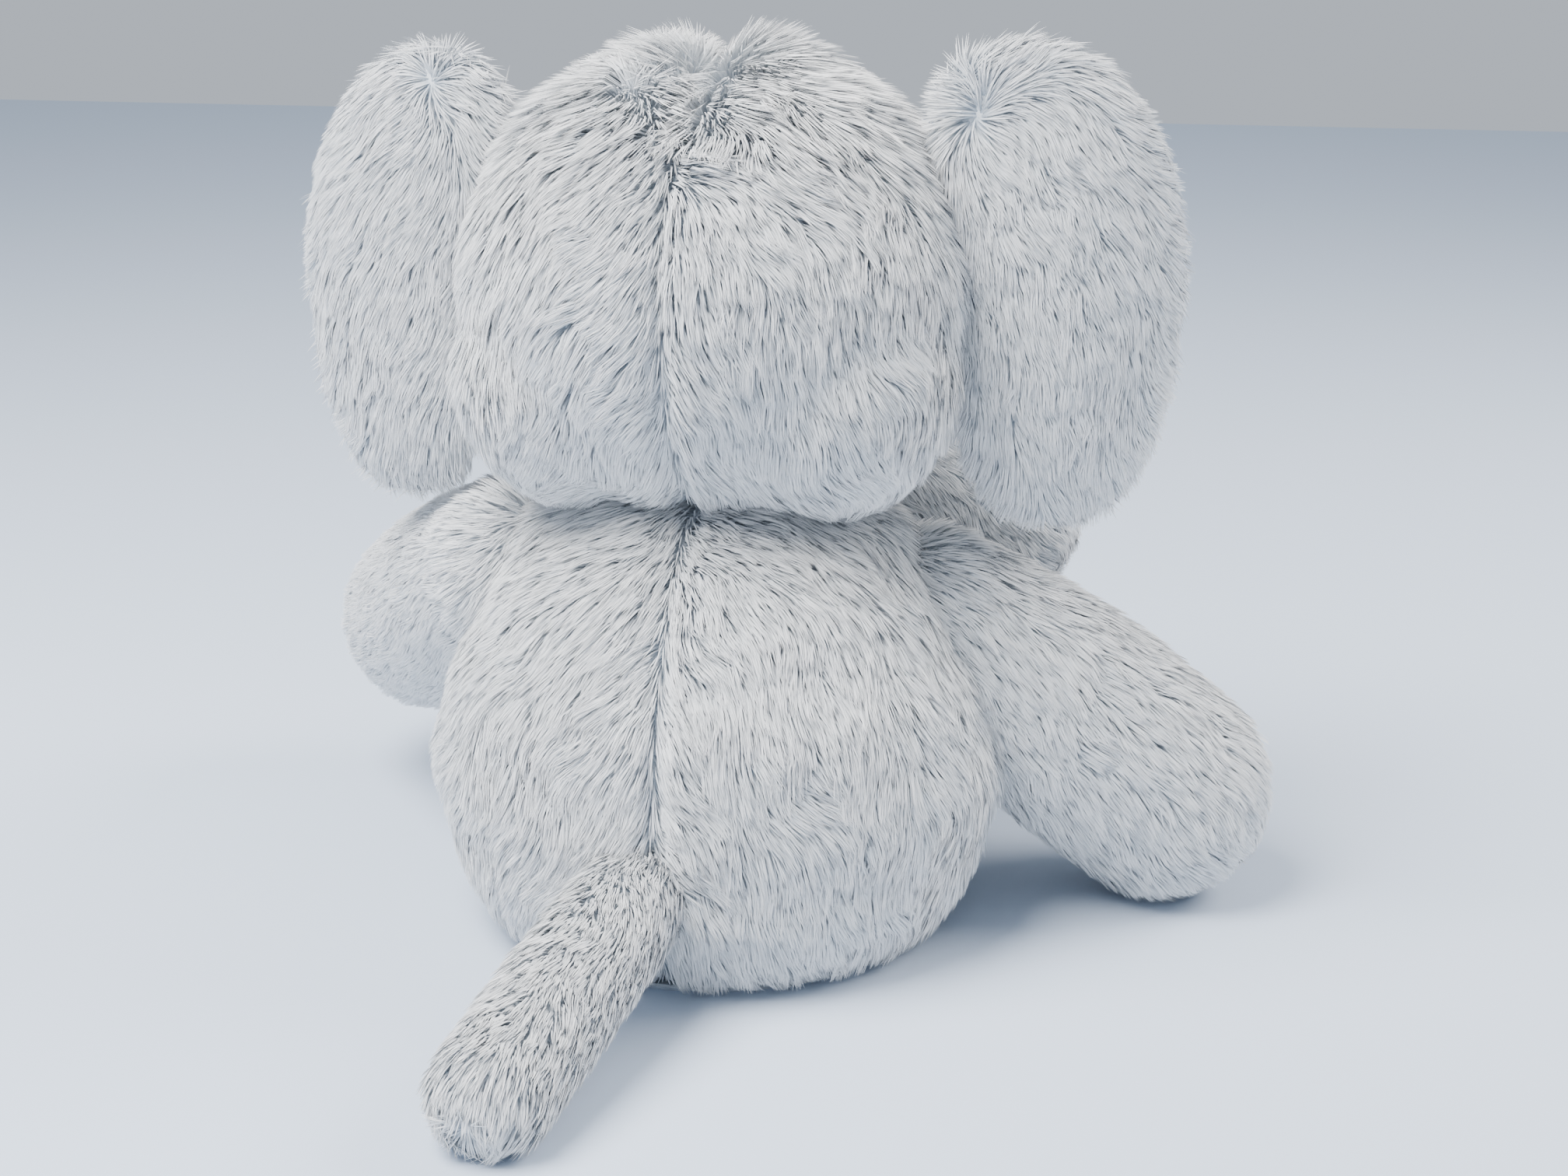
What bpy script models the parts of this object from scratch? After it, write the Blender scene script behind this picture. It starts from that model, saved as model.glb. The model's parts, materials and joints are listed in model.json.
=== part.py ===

"""A large sitting plush elephant: sewn skins of long-pile fabric over fibre stuffing.

Frame: metres, +Z up. The elephant faces -Y and sits on its flat seat base, whose underside is
z = 0 with the body's axis on the origin. Its own left is +X. Limbs, ears, trunk, tail and head
are soft joints, so each of them starts as a ball centred on the place where it bends.
"""
import math

import bmesh
import bpy
from mathutils import Matrix, Vector

# ---------------------------------------------------------------- sizes (metres)
GAP = 0.0003             # air kept between two pieces that lie against each other
SKIN = 0.003             # backing cloth and the base of the pile
RUN = 0.0012             # clearance round a ball that turns in its pocket
CUT_STEPS = 10           # sides of the cutters that make room for a limb

BODY_WIDTH = 0.286       # across the widest part of the seat
BODY_DEPTH = 0.276       # belly to back
BODY_HEIGHT = 0.236      # seat to the neck opening
SEAT_RADIUS = BODY_WIDTH / 2 - 0.027    # flat round base that it sits on
SEAT_THICK = 0.0035
BELLY_SEAM_Y = -0.030    # side seams, where the back panels meet the belly panel
BAG_RADIUS = 0.055       # bag of weighting pellets in the seat
BAG_HEIGHT = 0.040

NECK_RADIUS = 0.032
NECK_LIFT = 0.006        # neck ball's centre above the neck opening

HEAD_WIDTH = 0.248
HEAD_DEPTH = 0.240
HEAD_HEIGHT = 0.222
HEAD_FORWARD = 0.014     # head's centre in front of the body's axis
HEAD_CLEAR = 0.002       # head to the shoulders under it
HEAD_SINK = 0.013        # how far the head's underside comes down over the neck ball's centre

EAR_HEIGHT = 0.236
EAR_WIDTH = 0.128
EAR_THICK = 0.050
EAR_OUT = 0.046          # ear's centre outside the side of the head
EAR_SWEEP = 16.0         # degrees that the ear is swept forward
EAR_CLEAR = 0.004        # ear's sewn edge to the head

ARM_LENGTH = 0.178       # shoulder to the centre of the paw
ARM_RADIUS = 0.050       # at the paw
SHOULDER_RADIUS = 0.042
ARM_BULGE = 0.004
SHOULDER_X = BODY_WIDTH / 2 - 0.030
SHOULDER_Y = -0.024
SHOULDER_Z = BODY_HEIGHT / 2 + 0.062
ARM_RIGHT_DIR = (-0.655, -0.250, -0.712)
ARM_LEFT_DIR = (0.535, -0.738, -0.415)

LEG_LENGTH = 0.176       # hip to the sole
LEG_RADIUS = 0.048
FOOT_RADIUS = 0.054
HIP_X = BODY_WIDTH / 2 - 0.065
HIP_Y = 0.040 - BODY_DEPTH / 2
LEG_SPREAD = 9.0         # degrees that each leg points outward
LEG_FLOOR = 0.0035       # underside of the foot above the seat's plane
SOLE_THICK = 0.003

TRUNK_RADIUS = 0.043     # at the face
TRUNK_BEND_RADIUS = 0.038
TRUNK_TIP_RADIUS = 0.036
TRUNK_ROOT = (0.0, -0.040, -0.032)   # from the head's front, downward
TRUNK_BASE_DIR = (-0.30, -0.74, -0.60)
TRUNK_BASE_LENGTH = BODY_HEIGHT / 2 + 0.030
TRUNK_TIP_DIR = (-0.82, -0.17, -0.55)
TRUNK_TIP_LENGTH = BODY_HEIGHT / 2 - 0.006

TUSK_RADIUS = 0.0135
TUSK_LENGTH = 0.078
TUSK_DIR = (0.80, -0.33, -0.50)

EYE_RADIUS = 0.0075
EYE_STEM = 0.0025
EYE_SPREAD = 27.0        # degrees from the middle of the face
EYE_LIFT = 8.0           # degrees above the head's middle
WASHER_RADIUS = 0.008
WASHER_THICK = 0.0016

TAIL_LENGTH = 0.150
TAIL_RADIUS = 0.0215
TAIL_X = 0.012
TAIL_Y = BODY_DEPTH / 2 - 0.010
TAIL_Z = 0.060
TAIL_TURN = 12.0         # degrees that the tail lies toward the elephant's left
TAIL_FLOOR = 0.003       # underside of the tail's tip above the seat's plane

# ---------------------------------------------------------------- how far each joint bends (degrees)
HEAD_NOD = (-8, 5)
ARM_RIGHT_LIFT = (0, 32)
ARM_LEFT_SWING = (-14, 5)
LEG_LIFT = (-8, 0)
TRUNK_LIFT = (-16, 4)
TRUNK_CURL = (-4, 24)
TAIL_LIFT = (0, 36)
X_AXIS, Y_AXIS = (1, 0, 0), (0, 1, 0)

# ---------------------------------------------------------------- derived places
BODY_RX = BODY_WIDTH / 2
BODY_SQUASH = BODY_DEPTH / BODY_WIDTH
NECK = Vector((0, -HEAD_FORWARD * 0.7, BODY_HEIGHT + NECK_LIFT))
HEAD = Vector((0, -HEAD_FORWARD, NECK.z - HEAD_SINK + HEAD_HEIGHT / 2))
HEAD_R = Vector((HEAD_WIDTH / 2, HEAD_DEPTH / 2, HEAD_HEIGHT / 2))
SHOULDER = Vector((SHOULDER_X, SHOULDER_Y, SHOULDER_Z))
HIP = Vector((HIP_X, HIP_Y, LEG_FLOOR + LEG_RADIUS))
TAIL = Vector((TAIL_X, TAIL_Y, TAIL_Z))
TRUNK = HEAD + Vector((0, -HEAD_R.y, 0)) + Vector((0, -TRUNK_ROOT[1], TRUNK_ROOT[2]))
BEND = TRUNK + Vector(TRUNK_BASE_DIR).normalized() * TRUNK_BASE_LENGTH
EAR_HINGE = HEAD + Vector((HEAD_R.x + EAR_CLEAR, 0, 0))

# ---------------------------------------------------------------- scene and materials
for thing in list(bpy.data.objects):
    bpy.data.objects.remove(thing, do_unlink=True)

PIECES = bpy.data.collections.new("plush_elephant")
CUTTERS = bpy.data.collections.new("cutters")
bpy.context.scene.collection.children.link(PIECES)
bpy.context.scene.collection.children.link(CUTTERS)


def material(name, colour, rough, metal=0.0):
    mat = bpy.data.materials.new(name)
    mat.use_nodes = True
    node = mat.node_tree.nodes["Principled BSDF"]
    node.inputs["Base Color"].default_value = (*colour, 1)
    node.inputs["Roughness"].default_value = rough
    node.inputs["Metallic"].default_value = metal
    return mat


PLUSH = material("plush_grey", (0.62, 0.65, 0.68), 0.95)
VELOUR = material("velour_pale", (0.80, 0.78, 0.76), 0.9)
WHITE = material("velour_white", (0.86, 0.84, 0.80), 0.85)
FIBRE = material("fibre_stuffing", (0.93, 0.93, 0.92), 1.0)
COTTON = material("cotton_bag", (0.80, 0.76, 0.68), 0.95)
BLACK = material("eye_plastic", (0.01, 0.01, 0.012), 0.08)
NYLON = material("washer_plastic", (0.85, 0.85, 0.83), 0.45)


# ---------------------------------------------------------------- ways of making a piece
def add(name, mesh, mat, place=Matrix(), origin=(0, 0, 0), where=PIECES):
    """A named object with its mesh placed in the shared frame and its origin on its joint."""
    obj = bpy.data.objects.new(name, mesh)
    where.objects.link(obj)
    mesh.transform(Matrix.Translation(-Vector(origin)) @ place)
    if place.determinant() < 0:
        mesh.flip_normals()
    obj.location = origin
    if mat:
        mesh.materials.append(mat)
    else:
        obj.display_type = "WIRE"
        obj.hide_render = True
    return obj


def baked(obj, modifier_type, **settings):
    """Runs one modifier and keeps its result as the object's mesh."""
    mod = obj.modifiers.new(modifier_type.title(), modifier_type)
    for key, value in settings.items():
        setattr(mod, key, value)
    graph = bpy.context.evaluated_depsgraph_get()
    mesh = bpy.data.meshes.new_from_object(obj.evaluated_get(graph))
    obj.modifiers.remove(mod)
    old = obj.data
    obj.data = mesh
    bpy.data.meshes.remove(old)
    return obj


def from_bmesh(bm):
    mesh = bpy.data.meshes.new("form")
    bm.normal_update()
    bmesh.ops.recalc_face_normals(bm, faces=bm.faces)
    bm.to_mesh(mesh)
    bm.free()
    return mesh


def smooth(obj, angle=40.0):
    """Rounded forms shade smooth, with their rims left crisp."""
    mesh = obj.data
    for face in mesh.polygons:
        face.use_smooth = True
    bm = bmesh.new()
    bm.from_mesh(mesh)
    for edge in bm.edges:
        edge.smooth = edge.calc_face_angle(0.0) < math.radians(angle)
    bm.to_mesh(mesh)
    bm.free()
    return obj


def turned(name, profile, mat, place=Matrix(), origin=(0, 0, 0), steps=14, shell=0.0):
    """A profile of (radius, height) at +X, run from top to bottom and turned round Z."""
    mesh = bpy.data.meshes.new("profile")
    loop = profile[0] == profile[-1]
    points = [(max(r, 0.0), 0, z) for r, z in (profile[:-1] if loop else profile)]
    edges = [(i, (i + 1) % len(points)) for i in range(len(profile) - 1)]
    mesh.from_pydata(points, edges, [])
    obj = add(name, mesh, mat)
    baked(obj, "SCREW", axis="Z", steps=steps, render_steps=steps, use_merge_vertices=True,
          merge_threshold=0.00001, use_smooth_shade=True, use_normal_calculate=True)
    if shell:
        baked(obj, "SOLIDIFY", thickness=shell, offset=-1, use_even_offset=True)
    bm = bmesh.new()
    bm.from_mesh(obj.data)
    bmesh.ops.recalc_face_normals(bm, faces=bm.faces)
    bm.to_mesh(obj.data)
    bm.free()
    obj.data.transform(Matrix.Translation(-Vector(origin)) @ place)
    obj.location = origin
    return obj


def aimed(start, direction):
    """Stands a limb at its joint: the limb's own -Z runs from the joint to its tip."""
    turn = Vector((0, 0, -1)).rotation_difference(Vector(direction).normalized())
    return Matrix.Translation(Vector(start)) @ turn.to_matrix().to_4x4()


def ball(name, centre, radius, where=CUTTERS, mat=None, rings=8, segments=14):
    bm = bmesh.new()
    bmesh.ops.create_uvsphere(bm, u_segments=segments, v_segments=rings, radius=radius)
    return add(name, from_bmesh(bm), mat, Matrix.Translation(Vector(centre)), where=where)


def rod(name, start, direction, radius, length, back=0.0):
    """A cylinder cutter along a direction, from `back` behind the start."""
    bm = bmesh.new()
    bmesh.ops.create_cone(bm, cap_ends=True, segments=12, radius1=radius, radius2=radius,
                          depth=length + back)
    lift = Matrix.Translation(Vector((0, 0, -(length - back) / 2)))
    return add(name, from_bmesh(bm), None, aimed(start, direction) @ lift, where=CUTTERS)


def cut(obj, *cutters):
    for cutter in cutters:
        baked(obj, "BOOLEAN", operation="DIFFERENCE", object=cutter, solver="EXACT")
    return smooth(obj)


def capsule(root_r, tip_r, length, inset=0.0, mouth=0.0, bulge=0.0, arc=4):
    """Limb profile from its root ball to its round tip; `mouth` leaves the root open."""
    points = []
    a, b = root_r - inset, tip_r - inset
    for i in range(arc + 1):
        t = math.radians(mouth + (90 - mouth) * i / arc)
        points.append((a * math.sin(t), a * math.cos(t)))
    for i in range(1, 4):
        t = i / 4
        swell = bulge * math.sin(math.pi * t)
        points.append((a + (b - a) * t + swell, -length * t))
    for i in range(arc + 1):
        t = math.radians(90 + 90 * i / arc)
        points.append((b * math.sin(t), -length + b * math.cos(t)))
    points[-1] = (0, points[-1][1])
    if not mouth:
        points[0] = (0, points[0][1])
    return points


def limb(name, joint, direction, root_r, tip_r, length, bulge=0.0, mouth=42.0):
    """One stuffed limb: an open sewn skin and the fibre filling inside it."""
    place = aimed(joint, direction)
    skin = turned(name + "_skin", capsule(root_r, tip_r, length, 0, mouth, bulge), PLUSH,
                  place, joint, shell=SKIN)
    fill = turned(name + "_stuffing", capsule(root_r, tip_r, length, SKIN + GAP * 2, 0, bulge),
                  FIBRE, place, joint)
    return smooth(skin), fill


def side_name(stem, side):
    return stem + ("_left" if side > 0 else "_right")


# ---------------------------------------------------------------- pockets that the balls turn in
def egg(inset, rings=12, segments=20):
    """The head's form as a mesh, moved inward."""
    bm = bmesh.new()
    bmesh.ops.create_uvsphere(bm, u_segments=segments, v_segments=rings, radius=1)
    radii = [r - inset for r in HEAD_R]
    bmesh.ops.transform(bm, matrix=Matrix.Diagonal((*radii, 1)), verts=bm.verts)
    return bm


def hollows(name, joint, axis, reach, way, root_r, tip_r, length, bulge=0.0):
    """Cutters for the room that a limb sweeps between its two ends, with running clearance."""
    count = max(2, math.ceil((reach[1] - reach[0]) / 13) + 1)
    room = 1 / (math.cos(math.pi / CUT_STEPS) * math.cos(math.pi / 12))
    found = []
    for i in range(count):
        angle = math.radians(reach[0] + (reach[1] - reach[0]) * i / (count - 1))
        turn = Matrix.Rotation(angle, 3, Vector(axis))
        line = capsule((root_r + RUN) * room, (tip_r + RUN) * room, length, 0, 0, bulge, arc=3)
        cutter = turned(f"{name}_{i}", line, None, aimed(joint, turn @ Vector(way)),
                        steps=CUT_STEPS)
        PIECES.objects.unlink(cutter)
        CUTTERS.objects.link(cutter)
        cutter.display_type = "WIRE"
        cutter.hide_render = True
        found.append(cutter)
    return found


def leg_way(side):
    spread, rise = math.radians(LEG_SPREAD), math.asin((FOOT_RADIUS - LEG_RADIUS) / LEG_LENGTH)
    return Vector((side * math.sin(spread), -math.cos(spread), math.sin(rise))).normalized()


def tail_way():
    drop = (TAIL_Z - TAIL_RADIUS - TAIL_FLOOR) / TAIL_LENGTH
    level = math.sqrt(1 - drop * drop)
    turn = math.radians(TAIL_TURN)
    return Vector((math.sin(turn) * level, math.cos(turn) * level, -drop))


def sided(place, side):
    return Vector((side * place[0], place[1], place[2]))


def head_room():
    """Cutters for the space that the nodding head takes above the shoulders."""
    found = []
    for i, angle in enumerate((HEAD_NOD[0], 0, HEAD_NOD[1])):
        nod = Matrix.Rotation(math.radians(angle), 4, "X")
        place = Matrix.Translation(NECK) @ nod @ Matrix.Translation(HEAD - NECK)
        found.append(add(f"cut_under_head_{i}", from_bmesh(egg(-HEAD_CLEAR)), None, place,
                         where=CUTTERS))
    return found


pocket_neck = ball("cut_neck", NECK, NECK_RADIUS + RUN)
room_head = head_room()
room_arm = {1: hollows("cut_arm_left", sided(SHOULDER, 1), X_AXIS, ARM_LEFT_SWING, ARM_LEFT_DIR,
                       SHOULDER_RADIUS, ARM_RADIUS, ARM_LENGTH, ARM_BULGE),
            -1: hollows("cut_arm_right", sided(SHOULDER, -1), Y_AXIS, ARM_RIGHT_LIFT,
                        ARM_RIGHT_DIR, SHOULDER_RADIUS, ARM_RADIUS, ARM_LENGTH, ARM_BULGE)}
room_leg = {s: hollows(side_name("cut_leg", s), sided(HIP, s), X_AXIS, LEG_LIFT, leg_way(s),
                       LEG_RADIUS, FOOT_RADIUS, LEG_LENGTH) for s in (1, -1)}
room_tail = hollows("cut_tail", TAIL, X_AXIS, TAIL_LIFT, tail_way(), TAIL_RADIUS, TAIL_RADIUS,
                    TAIL_LENGTH)
room_trunk = hollows("cut_trunk", TRUNK, X_AXIS, TRUNK_LIFT, TRUNK_BASE_DIR, TRUNK_RADIUS,
                     TRUNK_BEND_RADIUS, TRUNK_BASE_LENGTH)
room_bend = hollows("cut_bend", BEND, Y_AXIS, TRUNK_CURL, TRUNK_TIP_DIR, TRUNK_BEND_RADIUS,
                    TRUNK_TIP_RADIUS, TRUNK_TIP_LENGTH)


# ---------------------------------------------------------------- body
def body_line(inset):
    """Pear-shaped side line of the body, neck to seat, as (radius, height), moved inward."""
    line = ((0.26, 1.00), (0.42, 0.985), (0.60, 0.935), (0.745, 0.84), (0.85, 0.72), (0.93, 0.58),
            (0.98, 0.45), (1.00, 0.33), (0.985, 0.20), (0.925, 0.09), (0.86, 0.035), (0.82, 0.018))
    outer = [Vector((BODY_RX * r, BODY_HEIGHT * z)) for r, z in line]
    moved = []
    for i, point in enumerate(outer):
        along = (outer[min(i + 1, len(outer) - 1)] - outer[max(i - 1, 0)]).normalized()
        moved.append(point + Vector((along.y, -along.x)) * inset)
    low = SEAT_THICK + GAP
    return [(point.x, max(point.y, low)) for point in moved]


def block(name, x, y, z):
    """A box cutter between pairs of limits."""
    bm = bmesh.new()
    bmesh.ops.create_cube(bm, size=1)
    size = Matrix.Diagonal((x[1] - x[0], y[1] - y[0], z[1] - z[0], 1))
    middle = Matrix.Translation(((x[0] + x[1]) / 2, (y[0] + y[1]) / 2, (z[0] + z[1]) / 2))
    return add(name, from_bmesh(bm), None, middle @ size, where=CUTTERS)


half = GAP / 2
far = 1.0
not_left = block("cut_all_right", (-far, half), (-far, far), (-far, far))
not_right = block("cut_all_left", (-half, far), (-far, far), (-far, far))
not_back = block("cut_all_front", (-far, far), (-far, BELLY_SEAM_Y + half), (-far, far))
not_front = block("cut_all_back", (-far, far), (BELLY_SEAM_Y - half, far), (-far, far))


def body_panel(name, *cutters):
    """A panel of the sewn skin: the whole pear-shaped shell, cut back to its seams."""
    outer, inner = body_line(0), body_line(SKIN)
    obj = turned(name, outer + inner[::-1] + outer[:1], PLUSH, steps=24)
    obj.data.transform(Matrix.Diagonal((1, BODY_SQUASH, 1, 1)))
    return cut(obj, *cutters)


body_panel("body_back_left", not_left, not_back, *room_arm[1], *room_tail, pocket_neck, *room_head)
body_panel("body_back_right", not_right, not_back, *room_arm[-1], *room_tail, pocket_neck,
           *room_head)
body_panel("body_belly", not_front, *room_arm[1], *room_arm[-1], *room_leg[1], *room_leg[-1],
           pocket_neck, *room_head)

seat = turned("seat_base", [(0, SEAT_THICK), (SEAT_RADIUS - 0.001, SEAT_THICK),
                            (SEAT_RADIUS, SEAT_THICK - 0.001), (SEAT_RADIUS - 0.002, 0), (0, 0)],
              PLUSH, steps=32)
seat.data.transform(Matrix.Diagonal((1, BODY_SQUASH, 1, 1)))
smooth(seat)

bag_top = SEAT_THICK + GAP + BAG_HEIGHT
bag_line = [(0, bag_top), (BAG_RADIUS * 0.6, bag_top - 0.002), (BAG_RADIUS * 0.92, bag_top - 0.012),
            (BAG_RADIUS, bag_top - BAG_HEIGHT * 0.55), (BAG_RADIUS * 0.9, SEAT_THICK + 0.006),
            (BAG_RADIUS * 0.7, SEAT_THICK + GAP), (0, SEAT_THICK + GAP)]
smooth(turned("pellet_bag", bag_line, COTTON))
bag_pocket = turned("cut_bag", [(0, bag_top + GAP), (BAG_RADIUS + GAP * 2, bag_top + GAP),
                                (BAG_RADIUS + GAP * 2, -0.01), (0, -0.01)], None)
PIECES.objects.unlink(bag_pocket)
CUTTERS.objects.link(bag_pocket)

fill_line = body_line(SKIN + GAP * 2)
fill_line = [(0, fill_line[0][1])] + fill_line + [(0, fill_line[-1][1])]
filling = turned("body_stuffing", fill_line, FIBRE, steps=24)
filling.data.transform(Matrix.Diagonal((1, BODY_SQUASH, 1, 1)))
cut(filling, *room_arm[1], *room_arm[-1], *room_leg[1], *room_leg[-1], *room_tail, pocket_neck,
    *room_head, bag_pocket)

# ---------------------------------------------------------------- neck
ball("neck_plug", NECK, NECK_RADIUS, PIECES, PLUSH)
neck = bpy.data.objects["neck_plug"]
neck.data.transform(Matrix.Translation(-NECK))
neck.location = NECK
smooth(neck, 60)


# ---------------------------------------------------------------- head
def eye_ray(side):
    turn, lift = math.radians(EYE_SPREAD), math.radians(EYE_LIFT)
    return Vector((side * math.sin(turn) * math.cos(lift), -math.cos(turn) * math.cos(lift),
                   math.sin(lift)))


def on_head(ray):
    """The point where a ray from the head's centre leaves the head."""
    scale = 1 / math.sqrt(sum((ray[i] / HEAD_R[i]) ** 2 for i in range(3)))
    return ray * scale


hollow = add("cut_head_inside", from_bmesh(egg(SKIN)), None, Matrix.Translation(HEAD),
             where=CUTTERS)
for s in (1, -1):
    skin = add(side_name("head", s), from_bmesh(egg(0)), PLUSH, Matrix.Translation(HEAD), NECK)
    cut(skin, hollow, not_left if s > 0 else not_right)
    ray = eye_ray(s)
    spot = HEAD + on_head(ray)
    hole = rod(side_name("cut_stem", s), spot, -ray, EYE_STEM + GAP, 0.03, 0.02)
    cut(skin, pocket_neck, *room_trunk, hole)

    # safety eye: domed bead, stem through the cloth, washer pressed on behind it
    bead = [(0, EYE_RADIUS * 0.62), (EYE_RADIUS * 0.5, EYE_RADIUS * 0.52),
            (EYE_RADIUS * 0.86, EYE_RADIUS * 0.24), (EYE_RADIUS, GAP * 3),
            (EYE_RADIUS * 0.9, GAP * 2), (EYE_STEM, GAP * 2), (EYE_STEM, -SKIN - 0.008),
            (0, -SKIN - 0.008)]
    stand = Matrix.Translation(spot) @ Vector((0, 0, 1)).rotation_difference(ray).to_matrix().to_4x4()
    smooth(turned(side_name("eye", s), bead, BLACK, stand, NECK, steps=14))
    deep = -SKIN - 0.0030
    ring = [(EYE_STEM + GAP, deep), (WASHER_RADIUS, deep), (WASHER_RADIUS, deep - WASHER_THICK),
            (EYE_STEM + GAP, deep - WASHER_THICK), (EYE_STEM + GAP, deep)]
    smooth(turned(side_name("eye_washer", s), ring, NYLON, stand, NECK, steps=14))

stuffed = add("head_stuffing", from_bmesh(egg(SKIN + GAP * 2)), FIBRE, Matrix.Translation(HEAD),
              NECK)
behind_eyes = [rod(side_name("cut_washer", s), HEAD + on_head(eye_ray(s)), -eye_ray(s),
                   WASHER_RADIUS + GAP, SKIN + 0.010, 0.02) for s in (1, -1)]
cut(stuffed, pocket_neck, *room_trunk, *behind_eyes)

# tusks: short stuffed cones of smooth velour, sewn to the cheeks
for s in (1, -1):
    ray = Vector((s * 0.60, -0.66, -0.46)).normalized()
    root = HEAD + on_head(ray)
    way = Vector((s * TUSK_DIR[0], TUSK_DIR[1], TUSK_DIR[2])).normalized()
    base = root + way * (TUSK_RADIUS * 1.05)
    cone = [(TUSK_RADIUS * r, -TUSK_LENGTH * z) for r, z in
            ((0.92, 0.0), (1.0, 0.06), (1.0, 0.30), (0.93, 0.55), (0.80, 0.76), (0.55, 0.92),
             (0.28, 0.985), (0, 1.0))]
    thin = 0.0015
    smooth(turned(side_name("tusk", s), cone, WHITE, aimed(base, way), NECK, steps=12, shell=thin))
    core = [(0, -0.001)] + [(max(r - thin - GAP * 2, 0), -0.001 + z * 0.955)
                            for r, z in cone[:-2]] + [(0, -TUSK_LENGTH + thin + GAP * 3)]
    turned(side_name("tusk_stuffing", s), core, FIBRE, aimed(base, way), NECK, steps=12)


# ---------------------------------------------------------------- ears
def ear_reach(angle, inset):
    """Ear outline as a distance from its centre: a tall oval, hollowed where it meets the head."""
    du, dv = math.cos(angle), math.sin(angle)
    a, b = EAR_WIDTH / 2 + 0.006 * dv, EAR_HEIGHT / 2
    oval = (abs(du / a) ** 2.3 + abs(dv / b) ** 2.3) ** (-1 / 2.3)
    rx, rz = HEAD_R.x + EAR_CLEAR, HEAD_R.z + EAR_CLEAR
    cu = HEAD_R.x + EAR_OUT
    qa = (du / rx) ** 2 + (dv / rz) ** 2
    qb = 2 * cu * du / rx ** 2
    qc = (cu / rx) ** 2 - 1
    disc = qb * qb - 4 * qa * qc
    if disc > 0 and du < 0:
        oval = min(oval, (-qb - math.sqrt(disc)) / (2 * qa))
    return oval - inset


def ear_form(name, side, inset, mat, where=PIECES):
    """The whole closed ear, moved inward, standing at its hinge and swept forward."""
    bm = bmesh.new()
    bmesh.ops.create_uvsphere(bm, u_segments=24, v_segments=8, radius=1)
    for vert in bm.verts:
        u, v, w = vert.co
        reach = ear_reach(math.atan2(v, u), inset) if math.hypot(u, v) > 1e-6 else 0
        vert.co = (u * reach + EAR_OUT - EAR_CLEAR, w * (EAR_THICK / 2 - inset), v * reach)
    hinge = sided(EAR_HINGE, side)
    return add(name, from_bmesh(bm), mat, Matrix.Translation(hinge) @ ear_sweep(side), hinge, where)


def ear_sweep(side):
    return Matrix.Diagonal((side, 1, 1, 1)) @ Matrix.Rotation(math.radians(-EAR_SWEEP), 4, "Z")


for s in (1, -1):
    wall = SKIN * 0.8
    inside = ear_form(side_name("cut_ear", s), s, wall, None, CUTTERS)
    for stem, layer, cloth in (("ear_back", 1, PLUSH), ("ear_lining", -1, VELOUR)):
        reach_y = sorted((layer * half, -layer * far))
        other = block(side_name("cut_" + stem, s), (-far, far), reach_y, (-far, far))
        other.data.transform(Matrix.Translation(sided(EAR_HINGE, s)) @ ear_sweep(s))
        if s < 0:
            other.data.flip_normals()
        cut(ear_form(side_name(stem, s), s, 0, cloth), other, inside)
    smooth(ear_form(side_name("ear_stuffing", s), s, wall + GAP * 2, FIBRE), 60)

# ---------------------------------------------------------------- trunk
base_skin, base_fill = limb("trunk_base", TRUNK, TRUNK_BASE_DIR, TRUNK_RADIUS, TRUNK_BEND_RADIUS,
                            TRUNK_BASE_LENGTH)
cut(base_skin, *room_bend)
cut(base_fill, *room_bend)
limb("trunk_tip", BEND, TRUNK_TIP_DIR, TRUNK_BEND_RADIUS, TRUNK_TIP_RADIUS, TRUNK_TIP_LENGTH)

# ---------------------------------------------------------------- arms
for s, way in ((1, ARM_LEFT_DIR), (-1, ARM_RIGHT_DIR)):
    limb(side_name("arm", s), sided(SHOULDER, s), way, SHOULDER_RADIUS, ARM_RADIUS, ARM_LENGTH,
         ARM_BULGE)

# ---------------------------------------------------------------- legs
for s in (1, -1):
    way, hip = leg_way(s), sided(HIP, s)
    shape = capsule(LEG_RADIUS, FOOT_RADIUS, LEG_LENGTH, 0, 42.0, 0.0)[:8]
    shape += [(FOOT_RADIUS, -LEG_LENGTH * 0.90), (FOOT_RADIUS, -LEG_LENGTH + SOLE_THICK + GAP)]
    smooth(turned(side_name("leg", s) + "_skin", shape, PLUSH, aimed(hip, way), hip, shell=SKIN))
    thin = SKIN + GAP * 2
    inner = capsule(LEG_RADIUS, FOOT_RADIUS, LEG_LENGTH, thin, 0, 0.0)[:8]
    inner += [(FOOT_RADIUS - thin, -LEG_LENGTH * 0.90),
              (FOOT_RADIUS - thin, -LEG_LENGTH + SOLE_THICK + GAP),
              (0, -LEG_LENGTH + SOLE_THICK + GAP)]
    turned(side_name("leg", s) + "_stuffing", inner, FIBRE, aimed(hip, way), hip)
    sole = [(0, -LEG_LENGTH + SOLE_THICK), (FOOT_RADIUS, -LEG_LENGTH + SOLE_THICK),
            (FOOT_RADIUS - 0.002, -LEG_LENGTH), (0, -LEG_LENGTH)]
    smooth(turned(side_name("leg", s) + "_sole", sole, VELOUR, aimed(hip, way), hip, steps=20))

# ---------------------------------------------------------------- tail
limb("tail", TAIL, tail_way(), TAIL_RADIUS, TAIL_RADIUS, TAIL_LENGTH)
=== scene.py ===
# %% [markdown]
# # A large sitting plush elephant
# The toy is a set of sewn bags of long-pile plush, each filled with polyester fibre and sewn to
# the next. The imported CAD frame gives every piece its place, its size and its joint. This lesson
# builds what the eye sees on top of that frame: puffed cloth skins, and then the pile, lock by lock.

# %% Frame
import json
import math

import bpy
import numpy as np
from mathutils import Matrix, Vector, noise
from mathutils.bvhtree import BVHTree


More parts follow.
